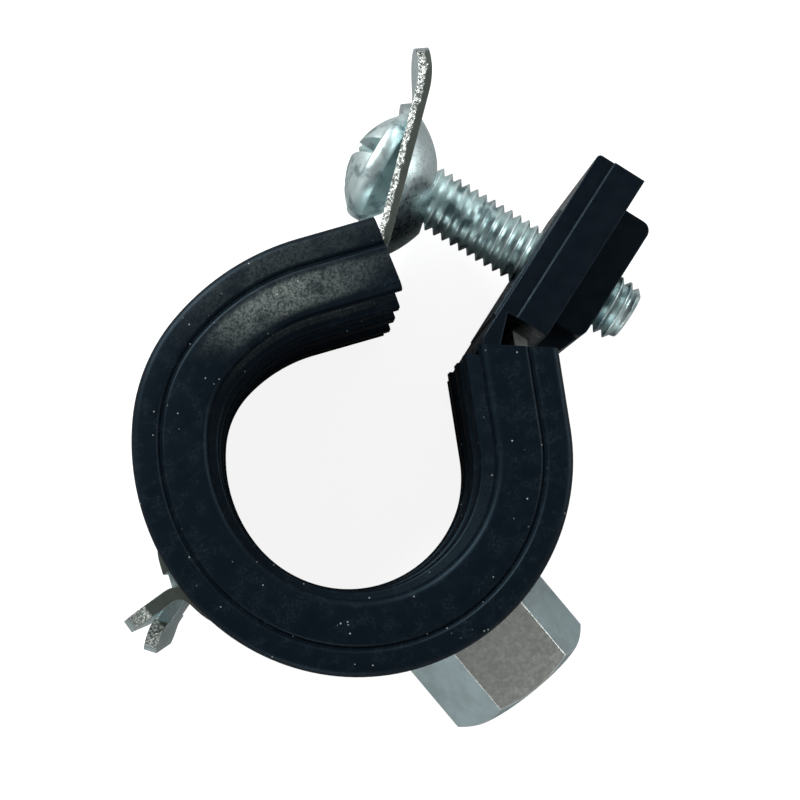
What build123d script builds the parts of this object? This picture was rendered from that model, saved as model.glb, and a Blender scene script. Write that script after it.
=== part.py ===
from build123d import *
import os
from math import cos, radians, sin, sqrt, tan

# Rubber lined pipe clamp, lying on its side, partly open.
# Origin: centre of the pipe bore at half the clamp's width. +Z runs along the bore,
# +X points at the closing gap, and the hanger nut points down -Y. All sizes in mm.
# A bent path is a list of legs (size, turn): a straight leg has turn 0 and its length as
# size, an arc has its radius as size and turns left by the given angle in degrees.

# ---- strap ----
STRAP_WIDTH = 20.0
STRAP_THICK = 1.25

# ---- ring, measured on the outside of the liner, from the hinge to the mouth ----
RING_LEFT = 19.6
LOWER_RADII = ((20.3, 40.0), (19.75, 109.0))
UPPER_RADII = ((22.4, -45.0), (16.6, -35.0), (23.0, -34.0))
LOWER_ARM = 7.75
UPPER_ARM = 7.05
LOWER_END_SLANT = 12.0
UPPER_END_SLANT = 6.0
UPPER_OVERHANG = 0.4

# ---- liner section ----
LINER_WIDTH = 24.0
LIP_THICK = 1.4
LIP_GAP = 14.8
LIP_ROUND = 0.7
NOSE_DEPTH = 7.1
NOSE_ROUND = 0.45
NOSE_WIDTH = 1.5
BASE_DEPTH = 6.3
MID_RIB_DEPTH = 7.7
MID_RIB_WIDTH = 2.6
SIDE_RIB_DEPTH = 7.7
SIDE_RIB_WIDTH = 1.9
SIDE_RIB_PLACE = 5.5
GROOVE_WIDTH = 0.45
GROOVE_DEPTH = 0.35
POCKET_GAP = 0.1
RIB_DRAFT = 0.35

# ---- hinge: a T-headed tongue through a slotted tab ----
LOWER_LEAVES = 26.0
UPPER_LEAVES = 27.0
HINGE_WINDOW = 14.0
LOWER_TAB = ((9.0, 8.0), (3.6, 0), (6.0, -27.0), (1.0, 0), (1.9, 79.0), (5.0, 0))
UPPER_TONGUE = ((9.0, -14.0), (2.6, 0), (6.0, 18.0), (2.3, 0), (1.9, -51.0), (2.5, 0), (3.0, 16.0), (1.85, 0))
TONGUE_WIDTH = 11.0
HEAD_WIDTH = 16.8
HEAD_LENGTH = 3.2
HEAD_CORNER = 1.8
HEAD_CLEAR = 2.0
SHOULDER_Y = 3.2
TAB_CORNER = 3.0
SLOT_GAP = 0.5
SLOT_LOW_Y = -1.2
SLOT_FAR_X = -24.1

# ---- clamping screw and its line ----
SCREW_ANGLE = -71.2
SCREW_FOOT = (28.68, 2.37)
SCREW_RADIUS = 3.0
SCREW_LENGTH = 28.0
HEAD_ABOVE_FOOT = 18.85
SCREW_TIP_CHAMFER = 0.7
SCREW_HEAD_RADIUS = 5.6
SCREW_HEAD_HEIGHT = 4.2
SCREW_HEAD_RIM = 1.3
SCREW_SEAT_RADIUS = 3.9
SCREW_SEAT_DEPTH = 1.3
DRIVE_SLOT_WIDTH = 1.6
DRIVE_SLOT_DEPTH = 2.3
CROSS_LENGTH = 7.4
CROSS_WIDTH = 1.2

# ---- upper ear: dished and forked ----
EAR_BEND_RADIUS = 1.0
UPPER_EAR_HEADING = 35.2
UPPER_EAR_LENGTH = 14.1
EAR_FLARE = ((7.0, 20.0), (2.4, 0))
DISH_PLACE = 8.0
DISH_RADIUS = 6.9
DISH_DEPTH = 2.8
DISH_FLOOR = 3.9
DISH_WALL_MID = (5.4, 1.65)
SEAT_RADIUS = 7.1
SEAT_FLOOR = 3.6
SEAT_WALL_MID = (5.25, 1.9)
FORK_WIDTH = 7.4
PRONG_TIP = 0.3

# ---- lower ear, inside the lock housing ----
NECK_WIDTH = 12.0
LOWER_EAR_HEADING = 17.7
LOWER_EAR_BEYOND = 6.6
EAR_HOLE = 3.4

# ---- lock housing, drawn in the lower ear's frame from the screw's foot ----
HOUSING_WIDTH = 22.0
HOUSING_NEAR = -8.8
HOUSING_FAR = 8.0
HOUSING_TOP = 2.4
HOUSING_BOTTOM = -2.5
HOUSING_ROUND = 0.4
STEP_LINE = 0.7
STEP_DEPTH = 0.25
FOOT_REACH = 4.2
FOOT_DROP = 1.8
FOOT_BEVEL = (1.1, 0.5)
FOOT_NECK = 0.7
PAD_FAR = 2.9
PAD_RISE = 0.2
PAD_WIDTH = 15.0
NUT_BLOCK_WIDTH = 14.0
NUT_BLOCK_NEAR = -6.2
NUT_BLOCK_FAR = 6.4
NUT_BLOCK_BOTTOM = -5.8
NUT_BLOCK_ROUND = 1.0
WEB_REACH = 1.7
WEB_RISE = 1.1
WEB_WIDTH = 11.0
HOUSING_BORE = 3.3
FIT_GAP = 0.1

# ---- how far a cutter reaches past what it cuts ----
SPARE = 4.0

# ---- square lock nut ----
LOCK_NUT_SIDE = 10.0
LOCK_NUT_THICK = 3.2
LOCK_NUT_BORE = 3.05

# ---- hanger nut: M10 outside, M8 inside ----
NUT_FLATS = 14.0
NUT_END = 27.75
NUT_CHAMFER = 1.2
NUT_BEVEL_ANGLE = 30.0
M10_BORE = 4.25
M10_LENGTH = 5.0
M8_BORE = 3.4
M8_LENGTH = 3.85

HALF_THICK = STRAP_THICK / 2
STRAP_DEPTH = LIP_THICK + POCKET_GAP + HALF_THICK
LINER_HALF = LINER_WIDTH / 2
PRONG_ROUND = (STRAP_WIDTH - FORK_WIDTH) / 4 - PRONG_TIP / 2
HINGE_POINT = (-RING_LEFT, 0)


def toward(heading):
    """Unit vector at an angle in the XY plane."""
    return Vector(cos(radians(heading)), sin(radians(heading)), 0)


def walk(point, heading, legs):
    """Point and heading at the end of a bent path."""
    point = Vector(*point)
    for size, turn in legs:
        if turn:
            centre = point + toward(heading + (90 if turn > 0 else -90)) * size
            point = centre + (point - centre).rotate(Axis.Z, turn)
            heading += turn
        else:
            point += toward(heading) * size
    return point, heading


def shifted(legs, left):
    """Legs of a parallel path that runs to the left of the given one."""
    return [(size - left if turn > 0 else size + left if turn < 0 else size, turn) for size, turn in legs]


def draw_path(point, heading, legs, left=0.0):
    """Draw a bent path moved to its left, and give both its ends."""
    first = Vector(*point) + toward(heading + 90) * left
    last = first
    for leg in shifted(legs, left):
        end, next_heading = walk(last, heading, [leg])
        if leg[1]:
            JernArc(last, toward(heading), leg[0], leg[1])
        else:
            Line(last, end)
        last, heading = end, next_heading
    return first, last


def strip_face(point, heading, legs, left, right):
    """Face between two sideways shifts of one bent path."""
    with BuildSketch() as strip:
        with BuildLine():
            first_a, last_a = draw_path(point, heading, legs, left)
            first_b, last_b = draw_path(point, heading, legs, right)
            Line(first_a, first_b)
            Line(last_a, last_b)
        make_face()
    return strip.sketch


def split_legs(legs, angle):
    """Cut the first arc of a path at an angle: the legs after the cut."""
    radius, turn = legs[0]
    rest = turn - angle if turn > 0 else turn + angle
    return [(radius, rest), *legs[1:]]


LOWER_RING = [*LOWER_RADII, (LOWER_ARM, 0)]
UPPER_RING = [*UPPER_RADII, (UPPER_ARM, 0)]


def strap_start(heading, legs, angle):
    """Where a strap leaves the liner near the hinge, on the strap's middle line."""
    radius, turn = legs[0]
    leaves = angle if turn > 0 else -angle
    point, heading = walk(HINGE_POINT, heading, [(radius, leaves)])
    inward = 90 if turn > 0 else -90
    return point + toward(heading + inward) * STRAP_DEPTH, heading


def strap_ring(legs, angle):
    """The strap's middle line inside the liner, from where it leaves near the hinge."""
    rest = split_legs(legs, angle)
    return [(size - STRAP_DEPTH if turn else size, turn) for size, turn in rest]


def ear_bend(from_heading, to_heading):
    """Arc leg that turns a strap from one heading to another."""
    return (EAR_BEND_RADIUS, to_heading - from_heading)


def crossing(point, heading, other, other_heading):
    """Where a line from one point at a heading crosses another such line."""
    normal = toward(other_heading + 90)
    reach = (other - point).dot(normal) / toward(heading).dot(normal)
    return point + toward(heading) * reach


LOWER_START, LOWER_START_HEADING = strap_start(-90, LOWER_RING, LOWER_LEAVES)
UPPER_START, UPPER_START_HEADING = strap_start(90, UPPER_RING, UPPER_LEAVES)
LOWER_ARC = strap_ring(LOWER_RING, LOWER_LEAVES)
UPPER_ARC = strap_ring(UPPER_RING, UPPER_LEAVES)
LOWER_MOUTH, LOWER_ARM_HEADING = walk(LOWER_START, LOWER_START_HEADING, LOWER_ARC)
UPPER_MOUTH, UPPER_ARM_HEADING = walk(UPPER_START, UPPER_START_HEADING, UPPER_ARC)

LOWER_BEND = ear_bend(LOWER_ARM_HEADING, LOWER_EAR_HEADING)
LOWER_CORNER = crossing(LOWER_MOUTH, LOWER_ARM_HEADING, Vector(*SCREW_FOOT), LOWER_EAR_HEADING)
BEND_TANGENT = EAR_BEND_RADIUS * tan(radians(abs(LOWER_BEND[1]) / 2))
LOWER_NECK = (LOWER_CORNER - LOWER_MOUTH).length - BEND_TANGENT
LOWER_EAR_LENGTH = (Vector(*SCREW_FOOT) - LOWER_CORNER).length - BEND_TANGENT + LOWER_EAR_BEYOND
LOWER_EXIT = [(LOWER_NECK, 0), LOWER_BEND, (LOWER_EAR_LENGTH, 0)]
UPPER_BEND = ear_bend(UPPER_ARM_HEADING, UPPER_EAR_HEADING)
UPPER_EXIT = [UPPER_BEND, (UPPER_EAR_LENGTH, 0), *EAR_FLARE]

SCREW_WAY = toward(SCREW_ANGLE)
SCREW_TOP = Vector(*SCREW_FOOT) - SCREW_WAY * HEAD_ABOVE_FOOT
UPPER_EAR_START = walk(UPPER_MOUTH, UPPER_ARM_HEADING, [UPPER_BEND])[0]
DISH_CENTRE = UPPER_EAR_START + toward(UPPER_EAR_HEADING) * DISH_PLACE
HOUSING_PLANE = Plane(origin=(*SCREW_FOOT, 0), x_dir=toward(LOWER_EAR_HEADING), z_dir=(0, 0, 1))
SCREW_PLANE = Plane(origin=SCREW_TOP, x_dir=(0, 0, 1), z_dir=SCREW_WAY)


SCREW_LEAN = abs(LOWER_EAR_HEADING - 90 - SCREW_ANGLE)
NUT_TOP = HEAD_ABOVE_FOOT + HALF_THICK + LOCK_NUT_SIDE / 2 * tan(radians(SCREW_LEAN)) + FIT_GAP


# ---- liner -------------------------------------------------------------------------
def liner_half_profile():
    """Corners of the liner's section for z > 0: depth below the outside, then z."""
    half_rib = MID_RIB_WIDTH / 2
    low, high = SIDE_RIB_PLACE - SIDE_RIB_WIDTH / 2, SIDE_RIB_PLACE + SIDE_RIB_WIDTH / 2
    pocket_top = LIP_THICK + 2 * POCKET_GAP + STRAP_THICK
    pocket_side = STRAP_WIDTH / 2 + POCKET_GAP
    groove = pocket_top - GROOVE_WIDTH / 2
    return [
        (pocket_top, 0), (pocket_top, pocket_side), (LIP_THICK, pocket_side), (LIP_THICK, LIP_GAP / 2),
        (RIB_DRAFT, LIP_GAP / 2), (0, LIP_GAP / 2 + RIB_DRAFT), (0, LINER_HALF),
        (groove - GROOVE_WIDTH / 2, LINER_HALF), (groove, LINER_HALF - GROOVE_DEPTH),
        (groove + GROOVE_WIDTH / 2, LINER_HALF), (NOSE_DEPTH, LINER_HALF),
        (NOSE_DEPTH, LINER_HALF - NOSE_WIDTH), (BASE_DEPTH, LINER_HALF - NOSE_WIDTH - RIB_DRAFT),
        (BASE_DEPTH, high + RIB_DRAFT), (SIDE_RIB_DEPTH, high), (SIDE_RIB_DEPTH, low),
        (BASE_DEPTH, low - RIB_DRAFT), (BASE_DEPTH, half_rib + RIB_DRAFT), (MID_RIB_DEPTH, half_rib),
        (MID_RIB_DEPTH, 0),
    ]


def liner_profile(plane):
    """The liner's whole section, with rounded outer corners and noses."""
    half = liner_half_profile()
    other = [(depth, -z) for depth, z in reversed(half)]
    with BuildSketch(plane) as section:
        with BuildLine():
            Polyline(*half, *other[1:-1], close=True)
        make_face()
        corners = section.vertices().filter_by(lambda v: abs(abs(v.Z) - LINER_HALF) < 1e-6)
        outer = corners.filter_by(lambda v: v.X < -RING_LEFT + 1e-6)
        noses = corners.filter_by(lambda v: v.X > -RING_LEFT + NOSE_DEPTH - 1e-6)
        fillet(outer, LIP_ROUND)
        fillet(noses, NOSE_ROUND)
    return section.sketch


def end_line(heading, legs, slant, inward):
    """Outer and inner corner of the liner's cut end, the outer one further back."""
    end, way = walk(HINGE_POINT, heading, legs)
    across = toward(way + inward)
    lean = toward(way) * tan(radians(slant))
    inside = MID_RIB_DEPTH + SPARE
    outer = end - across * SPARE - lean * (STRAP_DEPTH + SPARE)
    inner = end + across * inside + lean * (inside - STRAP_DEPTH)
    return outer, inner, toward(way)


def end_cutter(heading, legs, slant, inward, near, far):
    """Plan of a block across an arm, between two distances from its cut end."""
    outer, inner, way = end_line(heading, legs, slant, inward)
    with BuildSketch() as block:
        with BuildLine():
            Polyline(outer + way * near, inner + way * near, inner + way * far, outer + way * far, close=True)
        make_face()
    return block.sketch


POCKET_SIDE = STRAP_WIDTH / 2 + POCKET_GAP
POCKET_FACE = HALF_THICK + POCKET_GAP

with BuildPart() as liner:
    for sense, ring in ((-1, LOWER_RING), (1, UPPER_RING)):
        with BuildLine() as ring_path:
            draw_path(HINGE_POINT, 90 * sense, [*ring, (SPARE, 0)])
        profile_plane = Plane(origin=(*HINGE_POINT, 0), x_dir=(1, 0, 0), z_dir=(0, sense, 0))
        sweep(sections=liner_profile(profile_plane), path=ring_path.line)
    for point, heading, tab, inward in (
        (LOWER_START, LOWER_START_HEADING + 180, LOWER_TAB, -1),
        (UPPER_START, UPPER_START_HEADING + 180, UPPER_TONGUE, 1),
    ):
        bare = strip_face(point, heading, tab[:3], inward * POCKET_FACE, -inward * SPARE)
        extrude(bare, amount=POCKET_SIDE, both=True, mode=Mode.SUBTRACT)
    for sense, ring, slant, overhang in (
        (-1, LOWER_RING, LOWER_END_SLANT, 0),
        (1, UPPER_RING, UPPER_END_SLANT, UPPER_OVERHANG),
    ):
        waste = end_cutter(90 * sense, ring, slant, -90 * sense, overhang, 2 * SPARE)
        extrude(waste, amount=LINER_WIDTH, both=True, mode=Mode.SUBTRACT)
        window = [(ring[0][0], HINGE_WINDOW * -sense)]
        bare = strip_face(HINGE_POINT, 90 * sense, window, sense, -sense * (STRAP_DEPTH + POCKET_FACE))
        extrude(bare, amount=POCKET_SIDE, both=True, mode=Mode.SUBTRACT)
    ear_way = strip_face(UPPER_MOUTH, UPPER_ARM_HEADING, UPPER_EXIT[:2], POCKET_FACE, -POCKET_FACE)
    extrude(ear_way, amount=POCKET_SIDE, both=True, mode=Mode.SUBTRACT)
liner.part.label = "liner"


# ---- lower strap ---------------------------------------------------------------------
def strap_piece(point, heading, legs, width):
    """Solid strap along a bent path."""
    extrude(strip_face(point, heading, legs, HALF_THICK, -HALF_THICK), amount=width / 2, both=True)


def corner_edges(part, point, half_width):
    """Short edges through the thickness at a strap end, at a given half width."""
    short = part.edges().filter_by(lambda e: abs(e.length - STRAP_THICK) < 1e-3)
    near = short.filter_by(lambda e: (Vector(e.center().X, e.center().Y, 0) - point).length < 0.1)
    return near.filter_by(lambda e: abs(abs(e.center().Z) - half_width) < 1e-3)


SLOT_NEAR_X = SPARE - RING_LEFT
TAB_TIP = walk(LOWER_START, LOWER_START_HEADING + 180, LOWER_TAB)[0]

with BuildPart() as lower_strap:
    strap_piece(LOWER_START, LOWER_START_HEADING, LOWER_ARC, STRAP_WIDTH)
    strap_piece(LOWER_START, LOWER_START_HEADING + 180, LOWER_TAB, STRAP_WIDTH)
    fillet(corner_edges(lower_strap.part, TAB_TIP, STRAP_WIDTH / 2), TAB_CORNER)
    with BuildSketch() as slot_window:
        with BuildLine():
            Polyline((SLOT_FAR_X, SLOT_LOW_Y), (SLOT_NEAR_X, SLOT_LOW_Y), (SLOT_NEAR_X, SPARE),
                     (SLOT_FAR_X, SPARE), close=True)
        make_face()
    extrude(slot_window.sketch, amount=TONGUE_WIDTH / 2 + SLOT_GAP, both=True, mode=Mode.SUBTRACT)
    strap_piece(LOWER_MOUTH, LOWER_ARM_HEADING, LOWER_EXIT, NECK_WIDTH)
    with BuildSketch(SCREW_PLANE) as ear_hole:
        Circle(EAR_HOLE)
    extrude(ear_hole.sketch, amount=HEAD_ABOVE_FOOT + SPARE, mode=Mode.SUBTRACT)
lower_strap.part.label = "lower_strap"


# ---- upper strap ---------------------------------------------------------------------
TONGUE_TIP, TONGUE_HEADING = walk(UPPER_START, UPPER_START_HEADING + 180, UPPER_TONGUE)
EAR_TIP = walk(UPPER_MOUTH, UPPER_ARM_HEADING, UPPER_EXIT)[0]
TONGUE_NEAR_X = SPARE - RING_LEFT
TONGUE_FAR_X = TONGUE_TIP.X - SPARE


def tongue_relief():
    """Plan of what is cut from both sides of the tongue, between its shoulder and its head."""
    head = TONGUE_TIP - toward(TONGUE_HEADING) * HEAD_LENGTH
    across = toward(TONGUE_HEADING + 90)
    with BuildSketch() as relief:
        with BuildLine():
            Polyline(head - across * HEAD_CLEAR, head + across * SPARE, (TONGUE_NEAR_X, head.Y - SPARE),
                     (TONGUE_NEAR_X, SHOULDER_Y), (TONGUE_FAR_X, SHOULDER_Y), close=True)
        make_face()
    return relief.sketch


def tongue_trim():
    """Plan of the whole tongue below its shoulder, to trim the head's width."""
    with BuildSketch() as trim:
        with BuildLine():
            Polyline((TONGUE_NEAR_X, SHOULDER_Y), (TONGUE_FAR_X, SHOULDER_Y), (TONGUE_FAR_X, -SPARE),
                     (TONGUE_NEAR_X, -SPARE), close=True)
        make_face()
    return trim.sketch


def dish_section():
    """Section of the pressed dish: distance from its axis, then height toward the head."""
    outer_foot, outer_floor = (DISH_RADIUS, -HALF_THICK), (DISH_FLOOR, -DISH_DEPTH - HALF_THICK)
    outer_mid = (DISH_WALL_MID[0], -HALF_THICK - DISH_WALL_MID[1])
    inner_foot, inner_floor = (SEAT_RADIUS, HALF_THICK), (SEAT_FLOOR, HALF_THICK - DISH_DEPTH)
    inner_mid = (SEAT_WALL_MID[0], HALF_THICK - SEAT_WALL_MID[1])
    with BuildSketch(DISH_PLANE) as section:
        with BuildLine():
            ThreePointArc(inner_foot, inner_mid, inner_floor)
            Polyline(inner_floor, (0, HALF_THICK - DISH_DEPTH), (0, -DISH_DEPTH - HALF_THICK), outer_floor)
            ThreePointArc(outer_floor, outer_mid, outer_foot)
            Line(outer_foot, inner_foot)
        make_face()
    return section.sketch


DISH_UP = toward(UPPER_EAR_HEADING + 90)
DISH_PLANE = Plane(origin=DISH_CENTRE, x_dir=toward(UPPER_EAR_HEADING), z_dir=(0, 0, 1))
DISH_AXIS = Axis(DISH_CENTRE, DISH_UP)
EAR_FACE = Plane(origin=DISH_CENTRE, x_dir=toward(UPPER_EAR_HEADING), z_dir=DISH_UP)

with BuildPart() as upper_strap:
    strap_piece(UPPER_START, UPPER_START_HEADING, UPPER_ARC, STRAP_WIDTH)
    strap_piece(UPPER_START, UPPER_START_HEADING + 180, UPPER_TONGUE, STRAP_WIDTH)
    relief = tongue_relief()
    for side in (-1, 1):
        cut = relief.moved(Location((0, 0, side * TONGUE_WIDTH / 2)))
        extrude(cut, amount=side * STRAP_WIDTH, mode=Mode.SUBTRACT)
        trim = tongue_trim().moved(Location((0, 0, side * HEAD_WIDTH / 2)))
        extrude(trim, amount=side * STRAP_WIDTH, mode=Mode.SUBTRACT)
    strap_piece(UPPER_MOUTH, UPPER_ARM_HEADING, UPPER_EXIT, STRAP_WIDTH)
    with BuildSketch(EAR_FACE) as dish_opening:
        Circle((DISH_RADIUS + SEAT_RADIUS) / 2)
    extrude(dish_opening.sketch, amount=STRAP_THICK, both=True, mode=Mode.SUBTRACT)
    revolve(dish_section(), axis=DISH_AXIS, revolution_arc=360)
    with BuildSketch(EAR_FACE) as fork:
        Circle(FORK_WIDTH / 2)
        with Locations((UPPER_EAR_LENGTH, 0)):
            Rectangle(2 * UPPER_EAR_LENGTH, FORK_WIDTH)
    extrude(fork.sketch, amount=UPPER_EAR_LENGTH, both=True, mode=Mode.SUBTRACT)
    fillet(corner_edges(upper_strap.part, EAR_TIP, STRAP_WIDTH / 2), PRONG_ROUND)
    fillet(corner_edges(upper_strap.part, EAR_TIP, FORK_WIDTH / 2), PRONG_ROUND)
    fillet(corner_edges(upper_strap.part, TONGUE_TIP, HEAD_WIDTH / 2), HEAD_CORNER)
upper_strap.part.label = "upper_strap"

# ---- hanger nut ----------------------------------------------------------------------
NUT_CORNER = NUT_FLATS / sqrt(3)
NUT_FACE = Plane(origin=(0, -NUT_END, 0), x_dir=(1, 0, 0), z_dir=(0, -1, 0))

with BuildPart() as combination_nut:
    with BuildSketch(NUT_FACE) as hexagon:
        RegularPolygon(NUT_FLATS / 2, 6, major_radius=False)
    extrude(hexagon.sketch, amount=-NUT_END / 2)
    with BuildSketch(Plane(origin=(0, -NUT_END, 0), x_dir=(1, 0, 0), z_dir=(0, 0, 1))) as bevel:
        with BuildLine():
            rise = (NUT_CHAMFER + SPARE) * tan(radians(NUT_BEVEL_ANGLE))
            inner = NUT_CORNER - NUT_CHAMFER
            outer = NUT_CORNER + SPARE
            Polyline((inner, 0), (outer, rise), (outer, -SPARE), (inner, -SPARE), close=True)
        make_face()
    revolve(bevel.sketch, axis=Axis.Y, mode=Mode.SUBTRACT)
    with BuildSketch(NUT_FACE) as bores:
        Circle(M8_BORE)
    extrude(bores.sketch, amount=-M10_LENGTH - M8_LENGTH, mode=Mode.SUBTRACT)
    with BuildSketch(NUT_FACE) as wide_bore:
        Circle(M10_BORE)
    extrude(wide_bore.sketch, amount=-M10_LENGTH, mode=Mode.SUBTRACT)
    seat = strip_face(LOWER_START, LOWER_START_HEADING, LOWER_ARC, NUT_END / 2, -HALF_THICK)
    extrude(seat, amount=NUT_FLATS, both=True, mode=Mode.SUBTRACT)
combination_nut.part.label = "combination_nut"


# ---- lock housing --------------------------------------------------------------------
def housing_prism(points, width, mode=Mode.ADD):
    """Prism of a polygon in the lower ear's frame, centred on the clamp's width."""
    with BuildSketch(HOUSING_PLANE) as outline:
        with BuildLine():
            Polyline(*points, close=True)
        make_face()
    extrude(outline.sketch, amount=width / 2, both=True, mode=mode)


def rectangle(near, far, low, high):
    """Corners of a rectangle."""
    return (near, low), (far, low), (far, high), (near, high)


def upright_edges(part, along, up):
    """Edges along Z that pass a point of the lower ear's frame."""
    place = HOUSING_PLANE.from_local_coords(Vector(along, up, 0))
    upright = part.edges().filter_by(Axis.Z)
    return upright.filter_by(lambda e: (Vector(e.center().X, e.center().Y, 0) - place).length < 0.05)


FOOT_TIP = HOUSING_NEAR - FOOT_REACH

with BuildPart() as lock_housing:
    housing_prism(((HOUSING_NEAR, HOUSING_BOTTOM), (HOUSING_FAR, HOUSING_BOTTOM), (HOUSING_FAR, HOUSING_TOP),
                   (FOOT_TIP + FOOT_BEVEL[0], HOUSING_TOP), (FOOT_TIP, HOUSING_TOP - FOOT_BEVEL[1]),
                   (FOOT_TIP + FOOT_BEVEL[0], HOUSING_TOP - FOOT_DROP),
                   (HOUSING_NEAR, HOUSING_TOP - FOOT_NECK)), HOUSING_WIDTH)
    fillet(upright_edges(lock_housing.part, HOUSING_FAR, HOUSING_TOP), HOUSING_ROUND)
    housing_prism(rectangle(HOUSING_NEAR, PAD_FAR, HOUSING_TOP, HOUSING_TOP + PAD_RISE), PAD_WIDTH)
    housing_prism(rectangle(NUT_BLOCK_NEAR, NUT_BLOCK_FAR, NUT_BLOCK_BOTTOM, HOUSING_BOTTOM), NUT_BLOCK_WIDTH)
    fillet(upright_edges(lock_housing.part, NUT_BLOCK_FAR, NUT_BLOCK_BOTTOM), NUT_BLOCK_ROUND)
    fillet(upright_edges(lock_housing.part, NUT_BLOCK_NEAR, NUT_BLOCK_BOTTOM), NUT_BLOCK_ROUND)
    housing_prism(((NUT_BLOCK_NEAR + NUT_BLOCK_ROUND, HOUSING_BOTTOM),
                   (NUT_BLOCK_NEAR + NUT_BLOCK_ROUND, NUT_BLOCK_BOTTOM),
                   (NUT_BLOCK_NEAR - WEB_REACH, NUT_BLOCK_BOTTOM + WEB_RISE), (HOUSING_NEAR, HOUSING_BOTTOM)),
                  WEB_WIDTH)
    step_area = rectangle(FOOT_TIP - SPARE, HOUSING_FAR + SPARE, STEP_LINE, HOUSING_TOP + SPARE)
    for side in (-1, 1):
        with BuildSketch(HOUSING_PLANE.offset(side * HOUSING_WIDTH / 2)) as step:
            with BuildLine():
                Polyline(*step_area, close=True)
            make_face()
        extrude(step.sketch, amount=-side * STEP_DEPTH, mode=Mode.SUBTRACT)
    strap_slot = strip_face(LOWER_MOUTH, LOWER_ARM_HEADING, LOWER_EXIT, HALF_THICK + FIT_GAP,
                            -HALF_THICK - FIT_GAP)
    extrude(strap_slot, amount=NECK_WIDTH / 2 + FIT_GAP, both=True, mode=Mode.SUBTRACT)
    arm_end = end_cutter(-90, LOWER_RING, LOWER_END_SLANT, 90, FIT_GAP, -HOUSING_WIDTH)
    extrude(arm_end, amount=HOUSING_WIDTH, both=True, mode=Mode.SUBTRACT)
    with BuildSketch(SCREW_PLANE) as screw_bore:
        Circle(HOUSING_BORE)
    extrude(screw_bore.sketch, amount=SCREW_LENGTH, mode=Mode.SUBTRACT)
    with BuildSketch(SCREW_PLANE.offset(NUT_TOP - FIT_GAP)) as nut_pocket:
        Rectangle(LOCK_NUT_SIDE + 2 * FIT_GAP, LOCK_NUT_SIDE + 2 * FIT_GAP)
    extrude(nut_pocket.sketch, amount=LOCK_NUT_THICK + 2 * FIT_GAP, mode=Mode.SUBTRACT)
lock_housing.part.label = "lock_housing"

# ---- lock nut ------------------------------------------------------------------------
with BuildPart() as lock_nut:
    with BuildSketch(SCREW_PLANE.offset(NUT_TOP)) as nut_square:
        Rectangle(LOCK_NUT_SIDE, LOCK_NUT_SIDE)
        Circle(LOCK_NUT_BORE, mode=Mode.SUBTRACT)
    extrude(nut_square.sketch, amount=LOCK_NUT_THICK)
lock_nut.part.label = "lock_nut"

# ---- clamping screw ------------------------------------------------------------------
SCREW_SIDE = Plane(origin=SCREW_TOP, x_dir=toward(SCREW_ANGLE + 90), z_dir=(0, 0, 1))
CROWN_RADIUS = (SCREW_HEAD_RADIUS ** 2 + (SCREW_HEAD_HEIGHT - SCREW_HEAD_RIM) ** 2) / (
    2 * (SCREW_HEAD_HEIGHT - SCREW_HEAD_RIM))
DRIVE_FLOOR = SCREW_PLANE.offset(DRIVE_SLOT_DEPTH - SCREW_HEAD_HEIGHT)

with BuildPart() as clamping_screw:
    with BuildSketch(SCREW_PLANE) as shank:
        Circle(SCREW_RADIUS)
    extrude(shank.sketch, amount=SCREW_LENGTH)
    chamfer(clamping_screw.edges().sort_by(SCREW_PLANE.location.z_axis)[-1], SCREW_TIP_CHAMFER)
    with BuildSketch(SCREW_SIDE) as head_section:
        with BuildLine():
            rim = (SCREW_HEAD_RADIUS, SCREW_HEAD_RIM)
            crown = (0, SCREW_HEAD_HEIGHT)
            Polyline(crown, (0, -SCREW_SEAT_DEPTH), (SCREW_SEAT_RADIUS, -SCREW_SEAT_DEPTH),
                     (SCREW_HEAD_RADIUS, 0), rim)
            RadiusArc(rim, crown, CROWN_RADIUS)
        make_face()
    revolve(head_section.sketch, axis=Axis(SCREW_TOP, SCREW_WAY))
    with BuildSketch(DRIVE_FLOOR) as drive:
        Rectangle(3 * SCREW_HEAD_RADIUS, DRIVE_SLOT_WIDTH)
        Rectangle(CROSS_WIDTH, CROSS_LENGTH)
    extrude(drive.sketch, amount=-SCREW_HEAD_HEIGHT, mode=Mode.SUBTRACT)
clamping_screw.part.label = "clamping_screw"

# ---- files ---------------------------------------------------------------------------
os.makedirs("parts", exist_ok=True)
for piece in (liner, lower_strap, upper_strap, combination_nut, lock_housing, lock_nut, clamping_screw):
    export_step(piece.part, f"parts/{piece.part.label}.step")
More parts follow.
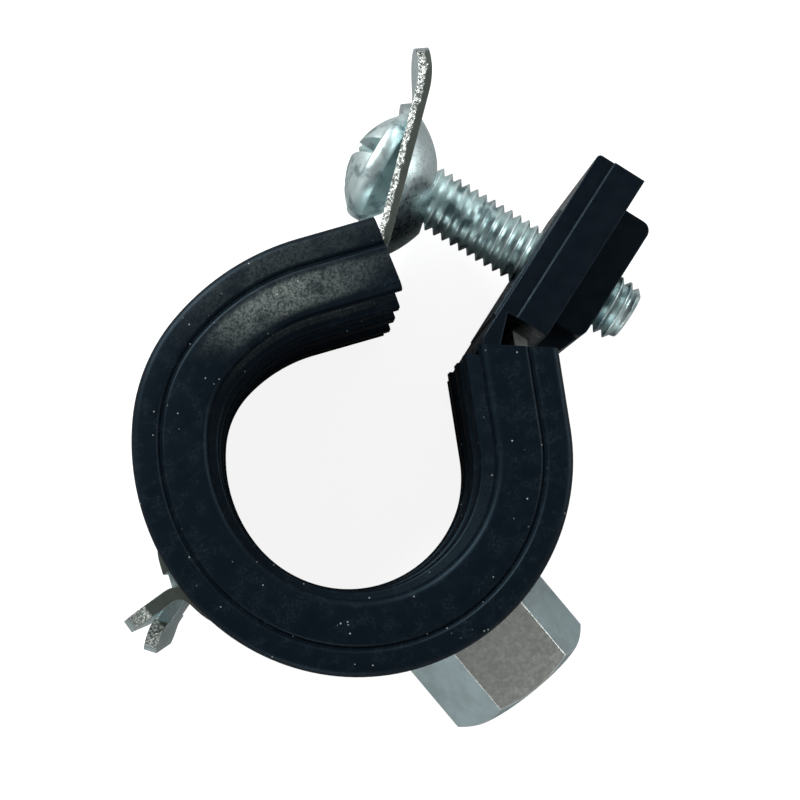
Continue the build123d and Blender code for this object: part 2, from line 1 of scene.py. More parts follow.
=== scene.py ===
import bmesh
import bpy
from math import ceil, copysign, cos, pi, radians, sin, tan
from mathutils import Matrix, Vector
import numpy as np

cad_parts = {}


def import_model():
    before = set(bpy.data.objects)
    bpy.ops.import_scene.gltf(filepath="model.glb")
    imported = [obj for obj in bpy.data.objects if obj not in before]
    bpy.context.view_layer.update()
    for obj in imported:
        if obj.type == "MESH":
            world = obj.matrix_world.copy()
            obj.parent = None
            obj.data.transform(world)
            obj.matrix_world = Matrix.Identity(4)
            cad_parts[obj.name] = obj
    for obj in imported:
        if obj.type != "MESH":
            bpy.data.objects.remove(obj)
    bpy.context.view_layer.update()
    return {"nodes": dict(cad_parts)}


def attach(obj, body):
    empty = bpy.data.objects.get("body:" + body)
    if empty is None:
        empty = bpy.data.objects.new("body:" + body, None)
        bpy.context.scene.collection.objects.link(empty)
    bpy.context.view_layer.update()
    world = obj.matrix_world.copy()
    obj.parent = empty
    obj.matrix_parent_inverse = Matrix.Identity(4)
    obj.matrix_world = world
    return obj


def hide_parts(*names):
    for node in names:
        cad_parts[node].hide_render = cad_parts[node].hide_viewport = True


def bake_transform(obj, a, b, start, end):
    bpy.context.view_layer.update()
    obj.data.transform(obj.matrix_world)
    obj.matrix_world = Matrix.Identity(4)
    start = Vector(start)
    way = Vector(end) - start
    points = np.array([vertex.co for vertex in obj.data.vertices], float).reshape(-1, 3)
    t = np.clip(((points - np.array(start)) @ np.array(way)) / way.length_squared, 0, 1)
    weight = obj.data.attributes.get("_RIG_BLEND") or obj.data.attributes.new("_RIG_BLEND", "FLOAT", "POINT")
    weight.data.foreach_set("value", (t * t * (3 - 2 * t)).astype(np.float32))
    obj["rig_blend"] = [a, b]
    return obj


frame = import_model()

# A rubber lined pipe clamp lying on its side. The row frame's +Z points at the camera.
# Sizes below are in millimetres unless a name says otherwise; MM turns them into metres.
MM = 0.001

# ---- camera: looks straight down -Z, turned and shifted as the picture is framed ----
PICTURE = 800
VIEW_TURN = 40.0
VIEW_HEIGHT = 121.3
FOCAL_PIXELS = 1202.0
LEVEL_SCALE = 11.0
AXIS_PIXEL = (292.0, 562.0)
AXIS_OFFSET = (-61.0, -102.0)
SENSOR = 36.0

# ---- ring size that the dressed pieces share with the solids ----
LINER_HALF = 12.0

# ---- clamping screw ----
SCREW_ANGLE = -71.2
SCREW_FOOT = Vector((28.68, 2.37, 0))
HEAD_ABOVE_FOOT = 18.85
SCREW_LENGTH = 28.0
CREST_RADIUS = 3.0
ROOT_RADIUS = 2.45
THREAD_PITCH = 1.0
TIP_CHAMFER = 0.7
HEAD_RADIUS = 5.6
HEAD_HEIGHT = 4.2
HEAD_RIM = 1.3
HEAD_ROUND = 0.55
SEAT_RADIUS = 3.9
SEAT_DEPTH = 1.3
DRIVE_WIDTH = 1.6
DRIVE_DEPTH = 2.3
CROSS_LENGTH = 7.4
CROSS_WIDTH = 1.2


def toward(heading):
    """Unit vector at an angle in the XY plane."""
    return Vector((cos(radians(heading)), sin(radians(heading)), 0))


SCREW_WAY = toward(SCREW_ANGLE)
SCREW_TOP = SCREW_FOOT - SCREW_WAY * HEAD_ABOVE_FOOT


# ---- node helpers ----------------------------------------------------------------------
class Shader:
    """A material's node tree, with one short call for each kind of node it uses."""

    def __init__(self, name):
        self.material = bpy.data.materials.new(name)
        self.material.use_nodes = True
        self.tree = self.material.node_tree
        self.bsdf = self.tree.nodes["Principled BSDF"]
        self.place = self.add("ShaderNodeTexCoord").outputs["Object"]
        self.normal = self.add("ShaderNodeTexCoord").outputs["Normal"]

    def add(self, kind, **settings):
        made = self.tree.nodes.new(kind)
        for name, value in settings.items():
            setattr(made, name, value)
        return made

    def feed(self, socket, value):
        if isinstance(value, bpy.types.NodeSocket):
            self.tree.links.new(value, socket)
        else:
            socket.default_value = value

    def math(self, operation, *values, clamp=False):
        made = self.add("ShaderNodeMath", operation=operation, use_clamp=clamp)
        for socket, value in zip(made.inputs, values):
            self.feed(socket, value)
        return made.outputs[0]

    def vector(self, operation, *values):
        made = self.add("ShaderNodeVectorMath", operation=operation)
        for socket, value in zip(made.inputs, values):
            self.feed(socket, value)
        return made.outputs["Value" if operation in ("DOT_PRODUCT", "LENGTH", "DISTANCE") else "Vector"]

    def noise(self, size, detail=3.0, rough=0.55, stretch=None):
        """Noise with features of a size in millimetres."""
        made = self.add("ShaderNodeTexNoise")
        place = self.vector("MULTIPLY", self.place, stretch) if stretch else self.place
        self.feed(made.inputs["Vector"], place)
        made.inputs["Scale"].default_value = 1 / (size * MM)
        made.inputs["Detail"].default_value = detail
        made.inputs["Roughness"].default_value = rough
        return made.outputs["Fac"]

    def cells(self, size, feature="F1"):
        made = self.add("ShaderNodeTexVoronoi", feature=feature)
        self.feed(made.inputs["Vector"], self.place)
        made.inputs["Scale"].default_value = 1 / (size * MM)
        return made.outputs["Distance"]

    def ramp(self, value, low, high, low_out=0.0, high_out=1.0):
        made = self.add("ShaderNodeMapRange", interpolation_type="SMOOTHSTEP")
        for name, part in (("Value", value), ("From Min", low), ("From Max", high),
                           ("To Min", low_out), ("To Max", high_out)):
            self.feed(made.inputs[name], part)
        return made.outputs["Result"]

    def mix(self, factor, first, second):
        made = self.add("ShaderNodeMix", data_type="RGBA")
        self.feed(made.inputs["Factor"], factor)
        self.feed(made.inputs["A"], (*first, 1) if isinstance(first, tuple) else first)
        self.feed(made.inputs["B"], (*second, 1) if isinstance(second, tuple) else second)
        return made.outputs["Result"]

    def blend(self, factor, first, second):
        made = self.add("ShaderNodeMix", data_type="FLOAT")
        for socket, value in zip(made.inputs, (factor, None, first, second)):
            if value is not None:
                self.feed(socket, value)
        return made.outputs["Result"]

    def beyond(self, limit):
        """1 past a limit on the hinge's side along X, and at the screw's end of the strap."""
        along = self.vector("DOT_PRODUCT", self.place, (1 / MM, 0, 0))
        hinge_side = self.ramp(along, limit, limit - 0.25)
        screw_side = self.ramp(along, SCREW_SIDE, SCREW_SIDE + 0.2)
        return self.math("MAXIMUM", hinge_side, screw_side)

    def attribute(self, name):
        return self.add("ShaderNodeAttribute", attribute_name=name).outputs["Fac"]

    def bevel(self, radius):
        made = self.add("ShaderNodeBevel", samples=6)
        made.inputs["Radius"].default_value = radius * MM
        return made.outputs["Normal"]

    def edges(self, radius, low, high):
        """1 on edges within a radius, 0 on flat faces, from the bevelled normal."""
        plain = self.add("ShaderNodeNewGeometry").outputs["Normal"]
        turn = self.vector("DOT_PRODUCT", self.bevel(radius), plain)
        return self.ramp(turn, high, low)

    def bump(self, height, depth, normal=None):
        made = self.add("ShaderNodeBump")
        made.inputs["Strength"].default_value = 1.0
        made.inputs["Distance"].default_value = depth * MM
        self.feed(made.inputs["Height"], height)
        if normal is not None:
            self.feed(made.inputs["Normal"], normal)
        return made.outputs["Normal"]

    def finish(self, color, roughness, metallic=0.0, normal=None, **constants):
        self.feed(self.bsdf.inputs["Base Color"], (*color, 1) if isinstance(color, tuple) else color)
        self.feed(self.bsdf.inputs["Roughness"], roughness)
        self.feed(self.bsdf.inputs["Metallic"], metallic)
        for name, value in constants.items():
            self.bsdf.inputs[name.replace("_", " ")].default_value = value
        if normal is not None:
            self.feed(self.bsdf.inputs["Normal"], normal)
        return self.material


# ---- materials -------------------------------------------------------------------------
# heading of the upper arm's lighter band, which is dust bloom with a painted sheen
BLOOM_AND_SHEEN_HEADING = 73.0
DEPTH_LAYER = "depth"
ZINC_TINT = (0.60, 0.72, 0.73)
COOL = (0.50, 0.78, 1.0, 1.0)


def rubber_material():
    """Bluish black rubber: dusty bloom with a painted sheen on the upper arm's face, and dust specks."""
    s = Shader("black_rubber")
    color = s.mix(s.noise(2.2, 4), (0.0012, 0.0028, 0.0050), (0.0026, 0.0054, 0.0088))
    along = s.vector("DOT_PRODUCT", s.vector("NORMALIZE", s.place), tuple(toward(BLOOM_AND_SHEEN_HEADING)))
    face = s.vector("DOT_PRODUCT", s.normal, (0, 0, 1))
    band = s.attribute(DEPTH_LAYER)
    inner = s.math("MULTIPLY", s.ramp(band, 3.2, 3.9), s.ramp(band, 6.7, 5.9))
    # lighter grey on the upper arm's camera-facing band: partly dust bloom, partly a painted sheen
    bloom_and_sheen = s.math("MULTIPLY", s.ramp(along, 0.66, 0.92), s.ramp(face, 0.85, 0.98))
    bloom_and_sheen = s.math("MULTIPLY", bloom_and_sheen, s.ramp(band, 7.15, 6.90))
    bloom_and_sheen = s.math("MULTIPLY", bloom_and_sheen, s.math("MULTIPLY_ADD", inner, 0.86, 0.14))
    grain = s.ramp(s.noise(0.22, 3, 0.75), 0.36, 0.62)
    patch = s.ramp(s.noise(2.6, 4), 0.28, 0.58)
    grain = s.math("MULTIPLY_ADD", grain, 0.8, 0.2)
    grain = s.math("MULTIPLY", grain, s.math("MULTIPLY_ADD", patch, 0.7, 0.3))
    # mix in the band's lighter grey: dust bloom with a painted sheen
    color = s.mix(s.math("MULTIPLY", bloom_and_sheen, grain), color, (0.215, 0.250, 0.232))
    haze = s.math("MULTIPLY", s.ramp(s.noise(1.4, 4), 0.46, 0.66), s.ramp(s.noise(0.25, 2), 0.35, 0.7))
    color = s.mix(s.math("MULTIPLY", haze, 0.30), color, (0.020, 0.030, 0.036))
    speck = s.math("MULTIPLY", s.ramp(s.cells(0.8), 0.12, 0.07), s.ramp(s.noise(1.6, 2), 0.54, 0.60))
    color = s.mix(speck, color, (0.26, 0.29, 0.29))
    roughness = s.math("MULTIPLY_ADD", s.noise(0.9, 4), 0.18, 0.34)
    normal = s.bump(s.noise(0.22, 3, 0.6), 0.010)
    return s.finish(color, roughness, normal=normal, Specular_IOR_Level=0.14, Specular_Tint=COOL)


def zinc_layers(s, tint, rough, grain):
    """Colour, roughness and height of bright zinc plate, with faint clouding."""
    cloud = s.ramp(s.noise(3.5, 4), 0.35, 0.68)
    color = s.mix(cloud, tint, tuple(part * 0.80 for part in tint))
    roughness = s.ramp(s.noise(grain, 3, 0.7), 0.3, 0.75, rough - 0.06, rough + 0.08)
    return color, roughness, s.noise(0.35, 3, 0.6)


def zinc_material(name, tint, rough, grain, painted_light_face=None, patches=None):
    """Bright zinc plate: a nut's front face is painted lighter and warmer as painted light, and its edges get
    a painted highlight; a screw has dark patches.
    """
    s = Shader(name)
    color, roughness, height = zinc_layers(s, tint, rough, grain)
    if patches:
        color = s.mix(s.ramp(s.noise(2.2, 5), 0.50, 0.64), color, patches)
    if painted_light_face:
        # painted light: the face toward the camera gets its own lighter colour
        front = s.ramp(s.vector("DOT_PRODUCT", s.normal, (0, 0, 1)), 0.90, 0.99)
        color = s.mix(front, color, painted_light_face)
        # painted highlight: the edges are coloured near white
        painted_edge_highlight = s.math("MULTIPLY", s.edges(0.26, 0.84, 0.985), s.ramp(s.noise(0.3, 3), 0.40, 0.56))
        color = s.mix(painted_edge_highlight, color, (1.0, 1.0, 0.97))
    return s.finish(color, roughness, 1.0, s.bump(height, 0.004, s.bevel(0.16)))


# where the strap's sheared edges look torn: past the hinge side, and outside the ear's dish
HINGE_SIDE = -23.2
SCREW_SIDE = 10.0
DISH_EDGE = 7.0
# middle of the strap's neck in the housing's window, where the strap is painted bright as painted light in the
# shaded recess
RECESS = (19.6, -0.2, 0)
# the upper ear's middle line: start, heading, straight length, then a flared arc
EAR_START = Vector((15.724, 14.098, 0))
EAR_HEADING = 35.2
EAR_LENGTH = 14.1
EAR_FLARE_RADIUS = 7.0
EAR_FLARE_TURN = 20.0
EAR_FLARED = EAR_HEADING + EAR_FLARE_TURN
FLARE_START = EAR_START + toward(EAR_HEADING) * EAR_LENGTH
FLARE_CENTRE = FLARE_START + toward(EAR_HEADING + 90) * EAR_FLARE_RADIUS
FLARE_END = FLARE_CENTRE - toward(EAR_FLARED + 90) * EAR_FLARE_RADIUS


def flat_place(s):
    """Place in millimetres with its height left out."""
    return s.vector("MULTIPLY", s.place, (1 / MM, 1 / MM, 0))


def ear_side(s):
    """How far a point lies on the screw head's side of the ear's middle line, in millimetres."""
    flat = flat_place(s)

    def measure(origin, heading):
        return s.vector("DOT_PRODUCT", s.vector("SUBTRACT", flat, tuple(origin)), tuple(toward(heading)))

    straight = measure(EAR_START, EAR_HEADING + 90)
    radius = s.vector("LENGTH", s.vector("SUBTRACT", flat, tuple(FLARE_CENTRE)))
    arc = s.math("SUBTRACT", EAR_FLARE_RADIUS, radius)
    tip = measure(FLARE_END, EAR_FLARED + 90)
    on_arc = s.math("GREATER_THAN", measure(FLARE_START, EAR_HEADING), 0.0)
    on_tip = s.math("GREATER_THAN", measure(FLARE_END, EAR_FLARED), 0.0)
    side = s.blend(on_tip, s.blend(on_arc, straight, arc), tip)
    return side, measure(EAR_START, EAR_HEADING)


def strap_material():
    """Zinc plated strap whose sheared edges are torn and bright, with a smooth olive half on the ear; its neck
    in the housing's shaded window is painted bright as painted light.
    """
    s = Shader("strap_zinc")
    color, roughness, height = zinc_layers(s, ZINC_TINT, 0.30, 0.6)
    edge = s.ramp(s.math("ABSOLUTE", s.vector("DOT_PRODUCT", s.normal, (0, 0, 1))), 0.55, 0.80)
    width = s.math("ABSOLUTE", s.vector("DOT_PRODUCT", s.place, (0, 0, 1 / MM)))
    edge = s.math("MULTIPLY", edge, s.ramp(width, DISH_EDGE, DISH_EDGE + 0.2))
    grain = s.noise(0.26, 4, 0.65)
    side, along = ear_side(s)
    on_ear = s.math("GREATER_THAN", along, -3.0)
    bright = s.mix(on_ear, (0.46, 0.50, 0.46), (0.84, 0.88, 0.84))
    torn = s.mix(s.ramp(grain, 0.42, 0.60), (0.11, 0.13, 0.125), bright)
    streak = s.noise(0.8, 4, 0.6)
    smooth = s.mix(streak, (0.075, 0.092, 0.080), (0.125, 0.145, 0.128))
    ragged = s.math("ADD", side, s.math("MULTIPLY_ADD", s.noise(0.7, 3, 0.6), 0.7, -0.35))
    border = s.ramp(along, 12.0, 17.0, 0.04, -0.12)
    half = s.ramp(s.math("SUBTRACT", ragged, border), -0.05, 0.05)
    is_torn = s.blend(on_ear, s.beyond(HINGE_SIDE), half)
    color = s.mix(edge, color, s.mix(is_torn, smooth, torn))
    edge_blend = s.blend(is_torn, 0.46, s.ramp(s.noise(0.5, 2), 0.35, 0.65, 0.18, 0.45))
    roughness = s.blend(edge, roughness, edge_blend)
    fine = s.bump(height, 0.006, s.bevel(0.12))
    rough = s.math("MULTIPLY", s.math("MULTIPLY", grain, is_torn), edge)
    # painted light: the neck in the housing's shaded window gets a bright colour and little metal, standing in
    # for light
    recess_painted_light = s.ramp(s.vector("DISTANCE", flat_place(s), RECESS), 3.5, 2.5)
    color = s.mix(recess_painted_light, color, (0.90, 0.95, 0.92))
    metallic = s.blend(recess_painted_light, 1.0, 0.25)
    return s.finish(color, roughness, metallic, s.bump(rough, 0.16, fine))


def plastic_material():
    """Satin black moulded plastic with fine bright edges: partly edge wear, partly a painted highlight."""
    s = Shader("black_plastic")
    color = s.mix(s.noise(4, 3), (0.0016, 0.0030, 0.0052), (0.0036, 0.0060, 0.0090))
    # lighter edge lines: partly edge wear, partly a painted highlight
    edge_blend = s.math("MULTIPLY", s.edges(0.11, 0.80, 0.99), s.ramp(s.noise(1.6, 3), 0.30, 0.60))
    color = s.mix(s.math("MULTIPLY", edge_blend, 0.07), color, (0.17, 0.20, 0.21))
    speck = s.math("MULTIPLY", s.ramp(s.cells(1.4), 0.09, 0.05), s.ramp(s.noise(2.6, 2), 0.58, 0.64))
    color = s.mix(speck, color, (0.20, 0.22, 0.22))
    roughness = s.ramp(s.noise(1.2, 4), 0.3, 0.7, 0.26, 0.40)
    normal = s.bump(s.noise(0.6, 3), 0.008, s.bevel(0.22))
    return s.finish(color, roughness, normal=normal, Specular_IOR_Level=0.19, Specular_Tint=COOL)


def floor_material():
    """White paper: it keeps a soft shadow, and reads as white to the camera."""
    s = Shader("white_floor")
    material = s.finish((0.32, 0.32, 0.32), 0.9, Specular_IOR_Level=0.0)
    seen = s.add("ShaderNodeLightPath").outputs["Is Camera Ray"]
    s.feed(s.bsdf.inputs["Emission Strength"], s.math("MULTIPLY", seen, 0.88))
    s.bsdf.inputs["Emission Color"].default_value = (1, 1, 1, 1)
    return material


RUBBER = rubber_material()
STRAP_ZINC = strap_material()
NUT_TINT = (0.60, 0.75, 0.78)
# lighter colour painted on the nut's face toward the camera, as painted light
NUT_PAINTED_LIGHT_FACE = (0.68, 0.715, 0.665)
NUT_ZINC = zinc_material("nut_zinc", NUT_TINT, 0.36, 0.4, painted_light_face=NUT_PAINTED_LIGHT_FACE)
SCREW_TINT = (0.78, 0.93, 0.93)
SCREW_PATCHES = (0.30, 0.40, 0.42)
SCREW_ZINC = zinc_material("screw_zinc", SCREW_TINT, 0.36, 0.8, patches=SCREW_PATCHES)
PLASTIC = plastic_material()


# ---- mesh helpers ----------------------------------------------------------------------
def object_from(bm, name, material, smooth=True):
    """Object made of a bmesh in metres."""
    mesh = bpy.data.meshes.new(name)
    bmesh.ops.recalc_face_normals(bm, faces=bm.faces)
    bm.to_mesh(mesh)
    bm.free()
    mesh.materials.append(material)
    mesh.polygons.foreach_set("use_smooth", [smooth] * len(mesh.polygons))
    made = bpy.data.objects.new(name, mesh)
    bpy.context.collection.objects.link(made)
    return made


def dress(node, material):
    """Give a CAD node its material."""
    piece = frame["nodes"][node]
    for part in piece.material_slots:
        part.material = material
    return piece


def axis_matrix(origin, way):
    """Matrix of a local frame whose +Z runs along a way in the XY plane and whose +Y is the row's +Z."""
    z = way.normalized()
    y = Vector((0, 0, 1))
    x = y.cross(z)
    return Matrix.Translation(origin * MM) @ Matrix((x, y, z)).transposed().to_4x4()


# ---- liner -----------------------------------------------------------------------------
# A leg of the ring is (size, turn): an arc's radius and the angle it turns left, or a
# straight run's length and 0. Both halves start at the hinge, on the liner's outside.
RING_LEFT = 19.6
LOWER_HALF = dict(heading=-90.0, legs=((20.3, 40.0), (19.75, 109.0), (7.75, 0)), slant=12.0, bare=9.2)
UPPER_HALF = dict(heading=90.0, legs=((22.4, -45.0), (16.6, -35.0), (23.0, -34.0), (7.45, 0)), slant=6.0,
                  bare=10.6)
STATION_STEP = 0.8
ROUND_STEPS = 5
SLANT_DEPTH = 2.1
ARM_RUN = 7.0
LIP_INNER = 7.4
POCKET_SIDE = 10.05
LIP_DEPTH = 1.5
BEND_HEADING = 98.6
BEND_REACH = 2.2
# corners of half the section: depth below the outside, place across the width, rounding
SECTION = (
    (2.85, POCKET_SIDE, 0), (1.4, POCKET_SIDE, 0), (1.4, LIP_INNER, 0.15), (0, LIP_INNER + 0.3, 0.35),
    (0, LINER_HALF, 0.75), (2.35, LINER_HALF, 0.35), (2.68, LINER_HALF - 0.42, 0.1),
    (2.95, LINER_HALF, 0.4), (7.1, LINER_HALF, 0.75), (7.1, 10.5, 0.3), (6.3, 10.15, 0.2),
    (6.3, 6.8, 0.2), (7.7, 6.45, 0.3), (7.7, 4.55, 0.3), (6.3, 4.2, 0.2), (6.3, 1.65, 0.2),
    (7.7, 1.3, 0.3),
)


def rounded(corners):
    """Closed outline with each corner of a (depth, place, rounding) list rounded off."""
    outline = []
    for k, (x, y, radius) in enumerate(corners):
        corner = Vector((x, y))
        if not radius:
            outline.append(corner)
            continue
        before = (Vector(corners[k - 1][:2]) - corner).normalized()
        after = (Vector(corners[(k + 1) % len(corners)][:2]) - corner).normalized()
        half_angle = before.angle(after) / 2
        tangent = radius / tan(half_angle)
        centre = corner + (before + after).normalized() * (radius / sin(half_angle))
        first, last = corner + before * tangent - centre, corner + after * tangent - centre
        for step in range(ROUND_STEPS + 1):
            share = step / ROUND_STEPS
            outline.append(centre + first.slerp(last, share, first).normalized() * radius)
    return outline


def liner_section(lips):
    """Outline of the whole section; without lips the strap's pocket is open to the outside."""
    outline = rounded([*SECTION, *((depth, -place, size) for depth, place, size in reversed(SECTION))])
    if lips:
        return outline
    return [(depth, place if depth > LIP_DEPTH else copysign(max(abs(place), POCKET_SIDE), place))
            for depth, place in outline]


def half_stations(half):
    """Stations along half of the ring: point, way on, way inward, distance and whether it has lips."""
    point, heading, run = Vector((-RING_LEFT, 0, 0)), half["heading"], 0.0
    inward = 90 if heading < 0 else -90
    stations = [(point, toward(heading), toward(heading + inward), 0.0, False)]
    for size, turn in half["legs"]:
        length = size * abs(radians(turn)) if turn else size
        centre = point + toward(heading + (90 if turn > 0 else -90)) * size
        steps = int(ceil(length / STATION_STEP))
        for step in range(1, steps + 1):
            share = step / steps
            way = heading + turn * share
            if turn:
                here = centre + Matrix.Rotation(radians(turn * share), 3, "Z") @ (point - centre)
            else:
                here = point + toward(heading) * size * share
            past = run + length * share
            if past > half["bare"] and not stations[-1][4]:
                stations.append((*stations[-1][:4], True))
            stations.append((here, toward(way), toward(way + inward), past, past > half["bare"]))
        point, heading, run = stations[-1][0], heading + turn, run + length
    return stations


def station_row(bm, station, half, total):
    """Row of vertices around one station, leaning with the arm's slanted cut near its end."""
    point, way, inward, past, lips = station
    lean = tan(radians(half["slant"])) * max(0.0, 1 - (total - past) / ARM_RUN)
    layer = bm.verts.layers.float[DEPTH_LAYER]
    row = []
    for depth, place in liner_section(lips):
        shift = way * lean * (depth - SLANT_DEPTH)
        row.append(bm.verts.new((point + inward * depth + shift + Vector((0, 0, place))) * MM))
        row[-1][layer] = depth
    return row


def half_rows(bm, half, skip):
    """Rows of one half, leaving out the first few."""
    stations = half_stations(half)
    return [station_row(bm, station, half, stations[-1][3]) for station in stations[skip:]]


def cap(bm, row):
    """Fill a closed row of vertices with triangles."""
    ring = set(row)
    edges = {edge for vert in row for edge in vert.link_edges if edge.other_vert(vert) in ring}
    bmesh.ops.triangle_fill(bm, use_beauty=True, edges=list(edges))


def liner_rubber():
    """The liner as one bending piece, swept round both halves, with slanted cut ends."""
    bm = bmesh.new()
    bm.verts.layers.float.new(DEPTH_LAYER)
    rows = [*reversed(half_rows(bm, LOWER_HALF, 0)), *half_rows(bm, UPPER_HALF, 1)]
    for first, second in zip(rows, rows[1:]):
        for k in range(len(first)):
            after = (k + 1) % len(first)
            bm.faces.new((first[k], first[after], second[after], second[k]))
    cap(bm, rows[0])
    cap(bm, rows[-1])
    bmesh.ops.remove_doubles(bm, verts=bm.verts, dist=0.001 * MM)
    made = object_from(bm, "liner_rubber", RUBBER)
    made.data.set_sharp_from_angle(angle=radians(40))
    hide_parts("liner")
    bend = toward(BEND_HEADING) * BEND_REACH
    hinge = Vector((-RING_LEFT, 0, 0))
    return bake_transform(made, "lower_half", "upper_half", start=(hinge - bend) * MM, end=(hinge + bend) * MM)


# ---- clamping screw --------------------------------------------------------------------
TURN_STEPS = 72
# share of a pitch and crest share at each corner of the thread's profile
THREAD_PROFILE = ((0.0, 0.0), (0.40, 1.0), (0.52, 1.0), (0.92, 0.0))


def thread_point(along, angle, crest):
    """Point of the thread's surface: distance along the screw, turn and crest share."""
    radius = ROOT_RADIUS + (CREST_RADIUS - ROOT_RADIUS) * crest
    left = SCREW_LENGTH - along
    limit = CREST_RADIUS - TIP_CHAMFER + max(left, 0.0)
    radius = min(radius, limit)
    return Vector((radius * cos(angle), radius * sin(angle), min(max(along, 0.0), SCREW_LENGTH))) * MM


def add_thread(bm):
    """Helical thread from the head's seat to the tip, as one closed skin with a flat end."""
    turns = int(ceil(SCREW_LENGTH / THREAD_PITCH)) + 2
    rows = []
    for turn in range(-1, turns):
        for phase, crest in THREAD_PROFILE:
            row = []
            for step in range(TURN_STEPS + 1):
                share = step / TURN_STEPS
                along = (turn + phase + share) * THREAD_PITCH
                row.append(bm.verts.new(thread_point(along, 2 * pi * share, crest)))
            rows.append(row)
    for low, high in zip(rows, rows[1:]):
        for step in range(TURN_STEPS):
            bm.faces.new((low[step], low[step + 1], high[step + 1], high[step]))
    rim = [bm.verts.new(Vector(((CREST_RADIUS - TIP_CHAMFER) * cos(2 * pi * k / TURN_STEPS),
                                (CREST_RADIUS - TIP_CHAMFER) * sin(2 * pi * k / TURN_STEPS),
                                SCREW_LENGTH)) * MM) for k in range(TURN_STEPS)]
    bm.faces.new(rim)
    bmesh.ops.remove_doubles(bm, verts=bm.verts, dist=0.004 * MM)
    bmesh.ops.dissolve_degenerate(bm, edges=bm.edges, dist=0.003 * MM)


def head_profile():
    """Half outline of the pan head, from the axis at its crown to the axis at its seat."""
    rise = HEAD_HEIGHT - HEAD_RIM
    ball = (HEAD_RADIUS ** 2 + rise ** 2) / (2 * rise)
    points = []
    steps = 22
    widest = HEAD_RADIUS - HEAD_ROUND
    for k in range(steps + 1):
        out = widest * k / steps
        points.append((out, HEAD_HEIGHT - ball + (ball ** 2 - out ** 2) ** 0.5))
    crown_out, crown_up = points[-1]
    for k in range(1, 9):
        bend = k / 8 * pi / 2
        points.append((crown_out + HEAD_ROUND * sin(bend) * 0.98,
                       crown_up - (crown_up - HEAD_RIM * 0.75) * (1 - cos(bend))))
    points += [(HEAD_RADIUS, 0.25), (HEAD_RADIUS - 0.12, 0.06), (HEAD_RADIUS - 0.35, -0.1),
               (SEAT_RADIUS, -SEAT_DEPTH), (0, -SEAT_DEPTH)]
    return points


def revolve(bm, points, steps=96):
    """Closed surface of a half outline turned about local Z; up in the outline is -Z."""
    rings = []
    for out, up in points:
        if out < 1e-6:
            rings.append([bm.verts.new(Vector((0, 0, -up)) * MM)])
        else:
            rings.append([bm.verts.new(Vector((out * cos(2 * pi * k / steps), out * sin(2 * pi * k / steps),
                                               -up)) * MM) for k in range(steps)])
    for first, second in zip(rings, rings[1:]):
        for k in range(steps):
            after = (k + 1) % steps
            corners = [first[k % len(first)], first[after % len(first)],
                       second[after % len(second)], second[k % len(second)]]
            unique = list(dict.fromkeys(corners))
            bm.faces.new(unique)


def cutter_box(name, size, low, high):
    """Box cutter in the screw's frame, size across and a range along."""
    bm = bmesh.new()
    bmesh.ops.create_cube(bm, size=1)
    for v in bm.verts:
        v.co = Vector((v.co.x * size[0], v.co.y * size[1], low if v.co.z < 0 else high)) * MM
    return object_from(bm, name, SCREW_ZINC, smooth=False)


def carve(target, cutters):
    """Cut boxes out of a closed piece and delete them."""
    for cutter in cutters:
        cut = target.modifiers.new("cut", "BOOLEAN")
        cut.operation = "DIFFERENCE"
        cut.solver = "EXACT"
        cut.object = cutter
        bpy.context.view_layer.update()
        result = bpy.data.meshes.new_from_object(target.evaluated_get(bpy.context.evaluated_depsgraph_get()))
        target.modifiers.clear()
        target.data = result
        bpy.data.objects.remove(cutter)
    return target


def clamping_screw():
    """The M6 screw: threaded shank and pan head with a slot and a cross arm."""
    bm = bmesh.new()
    revolve(bm, head_profile())
    head = object_from(bm, "screw_head", SCREW_ZINC)
    floor = DRIVE_DEPTH - HEAD_HEIGHT
    slot = cutter_box("slot", (DRIVE_WIDTH, 3 * HEAD_RADIUS), -HEAD_HEIGHT - 1, floor)
    cross = cutter_box("cross", (CROSS_LENGTH, CROSS_WIDTH), -HEAD_HEIGHT - 1, floor)
    carve(head, [slot, cross])
    head.data.set_sharp_from_angle(angle=radians(35))
    bm = bmesh.new()
    add_thread(bm)
    shank = object_from(bm, "screw_shank", SCREW_ZINC)
    shank.data.set_sharp_from_angle(angle=radians(30))
    for piece in (head, shank):
        piece.matrix_world = axis_matrix(SCREW_TOP, SCREW_WAY)
        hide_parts("clamping_screw")
        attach(piece, "screw")


# ---- stage, light and camera -----------------------------------------------------------
def stage():
    """White floor under the liner's face."""
    reach = 1.2
    bm = bmesh.new()
    bmesh.ops.create_grid(bm, x_segments=1, y_segments=1, size=reach)
    bmesh.ops.translate(bm, verts=bm.verts, vec=(0, 0, -(LINER_HALF + 0.02) * MM))
    floor = object_from(bm, "white_floor", floor_material(), smooth=False)


def view_vector(right, up, out=0.0):
    """Row-frame vector of a vector given along the picture's right, its up and toward the camera."""
    return Matrix.Rotation(radians(-VIEW_TURN), 3, "Z") @ Vector((right, up, out))


def lamp(name, place, size, power):
    """Square soft lamp at a place given in the picture's directions, aimed at the clamp."""
    data = bpy.data.lights.new(name, "AREA")
    data.size = size
    data.energy = power
    made = bpy.data.objects.new(name, data)
    bpy.context.collection.objects.link(made)
    made.location = view_vector(*place)
    aim = -made.location
    made.rotation_euler = aim.to_track_quat("-Z", "Y").to_euler()


ZENITH = 0.17
HORIZON = 0.75


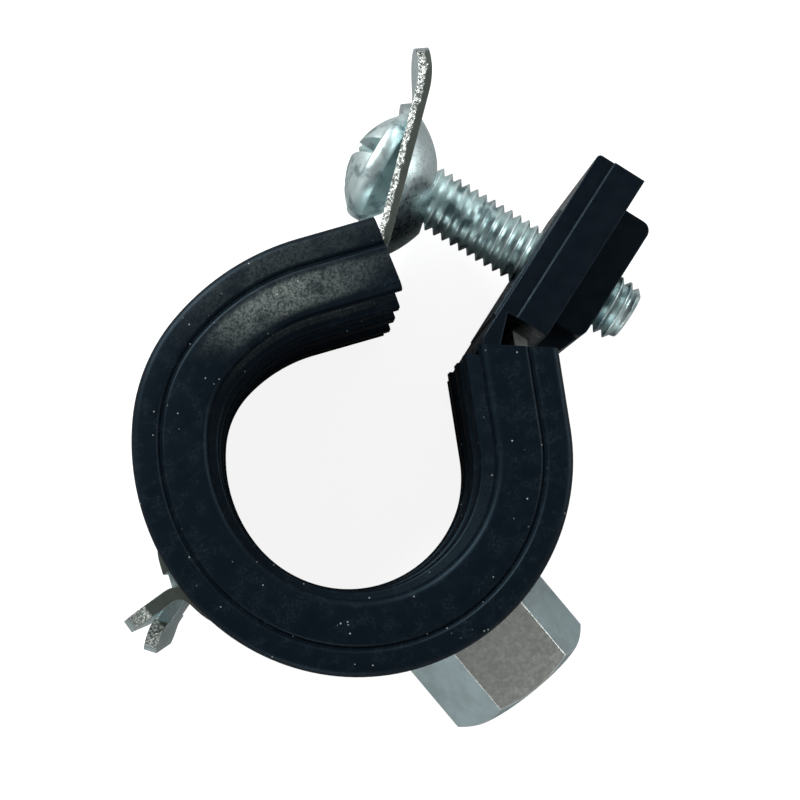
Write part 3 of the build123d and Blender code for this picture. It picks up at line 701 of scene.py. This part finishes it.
def world():
    """Soft white studio: bright low down, dim right above the clamp, white to the camera."""
    made = bpy.data.worlds.new("studio")
    bpy.context.scene.world = made
    made.use_nodes = True
    tree = made.node_tree
    place = tree.nodes.new("ShaderNodeTexCoord")
    split = tree.nodes.new("ShaderNodeSeparateXYZ")
    fade = tree.nodes.new("ShaderNodeMapRange")
    fade.interpolation_type = "SMOOTHSTEP"
    path = tree.nodes.new("ShaderNodeLightPath")
    level = tree.nodes.new("ShaderNodeMapRange")
    tree.links.new(place.outputs["Generated"], split.inputs["Vector"])
    tree.links.new(split.outputs["Z"], fade.inputs["Value"])
    for name, value in (("From Min", 0.35), ("From Max", 0.92), ("To Min", HORIZON), ("To Max", ZENITH)):
        fade.inputs[name].default_value = value
    tree.links.new(path.outputs["Is Camera Ray"], level.inputs["Value"])
    tree.links.new(fade.outputs["Result"], level.inputs["To Min"])
    level.inputs["To Max"].default_value = 1.0
    back = tree.nodes["Background"]
    back.inputs["Color"].default_value = (1, 1, 1, 1)
    tree.links.new(level.outputs["Result"], back.inputs["Strength"])


def light():
    lamp("key", (-0.30, 0.34, 0.30), 0.22, 3.6)
    lamp("side", (0.45, 0.10, 0.24), 0.22, 0.9)
    lamp("low", (-0.10, -0.45, 0.20), 0.25, 0.7)
    world()


def camera():
    """Camera over the point where the picture's view axis meets the clamp."""
    data = bpy.data.cameras.new("view")
    data.sensor_width = SENSOR
    data.lens = FOCAL_PIXELS / PICTURE * SENSOR
    data.shift_x = 0.5 - AXIS_PIXEL[0] / PICTURE
    data.shift_y = AXIS_PIXEL[1] / PICTURE - 0.5
    data.clip_start = 0.01
    made = bpy.data.objects.new("view", data)
    bpy.context.collection.objects.link(made)
    right, up = (value / LEVEL_SCALE for value in AXIS_OFFSET)
    made.location = view_vector(right, up, VIEW_HEIGHT) * MM
    made.rotation_euler = (0, 0, radians(-VIEW_TURN))
    bpy.context.scene.camera = made


liner_rubber()
clamping_screw()
dress("lower_strap", STRAP_ZINC)
dress("upper_strap", STRAP_ZINC)
dress("combination_nut", NUT_ZINC)
dress("lock_nut", NUT_ZINC)
dress("lock_housing", PLASTIC)
stage()
light()
camera()
bpy.context.scene.view_settings.view_transform = "Standard"
